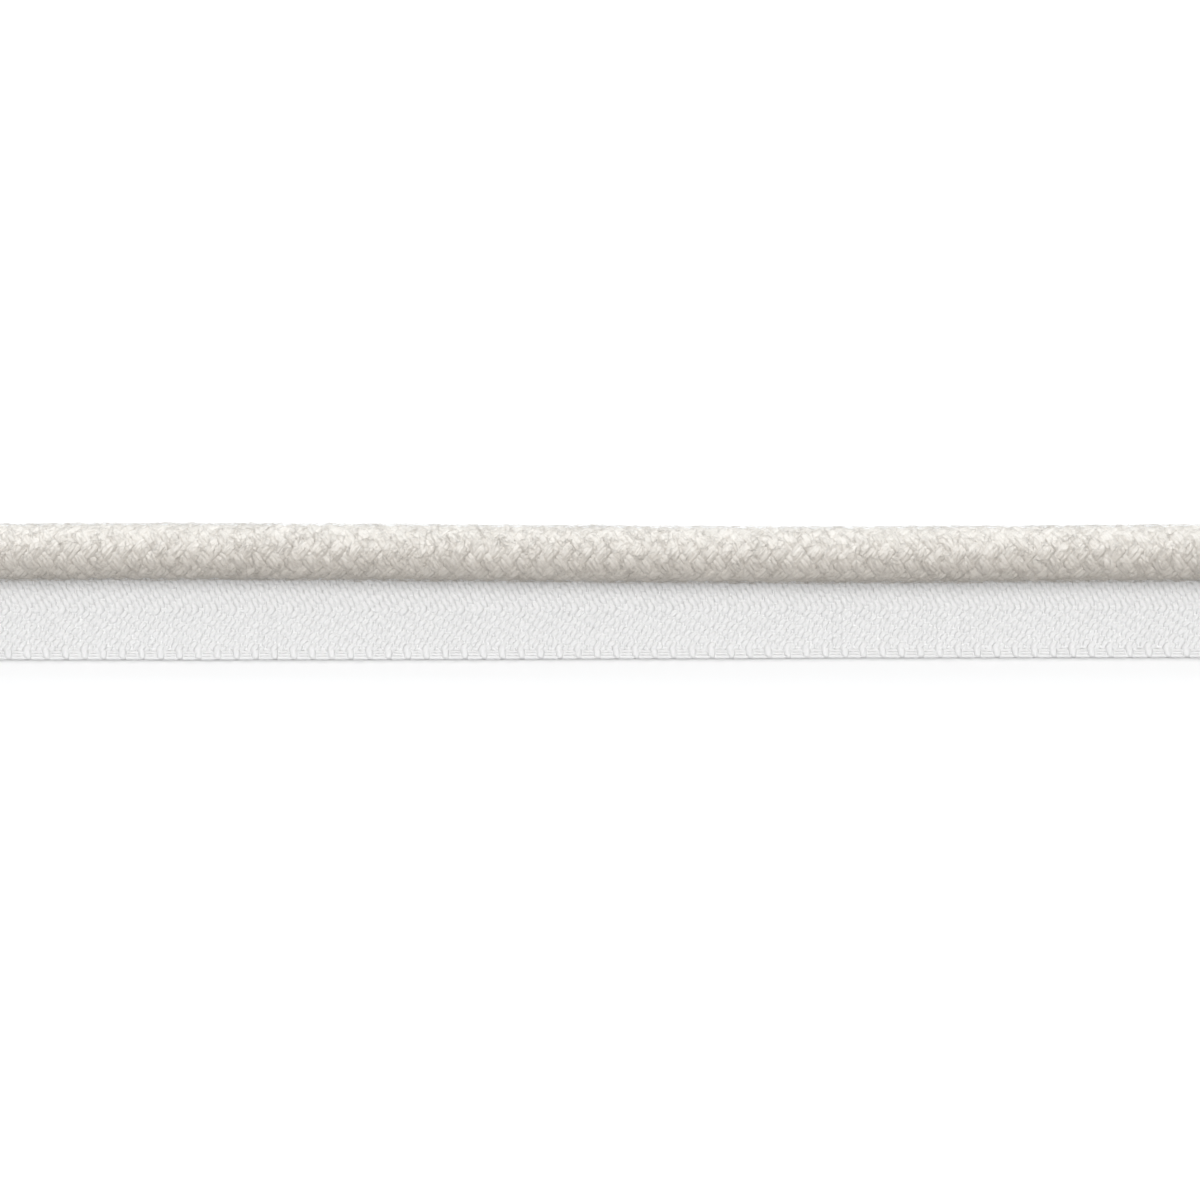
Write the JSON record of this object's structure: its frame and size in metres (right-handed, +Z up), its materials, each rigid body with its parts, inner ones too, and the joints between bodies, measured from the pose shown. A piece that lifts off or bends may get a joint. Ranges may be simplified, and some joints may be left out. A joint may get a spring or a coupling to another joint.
{
  "type": "flanged piping trim",
  "caption": "Straight cut length of flanged piping: a round ivory braided cord sewn along one edge of a flat white herringbone-woven tape, for inserting in a seam.",
  "frame": {"origin": "under the middle of the whole piece, on the surface that it lies on", "axes": "+X along the trim, +Y across it from the tape's free edge to the cord, +Z up out of the surface"},
  "size_m": [0.15, 0.0152, 0.0075],
  "materials": {
    "cord_yarn": "soft matt ivory braided yarn with a faint sheen",
    "tape_weave": "matt white herringbone weave"
  },
  "bodies": {
    "root": {"cord": "cord_yarn", "tape": "tape_weave"}
  },
  "joints": []
}
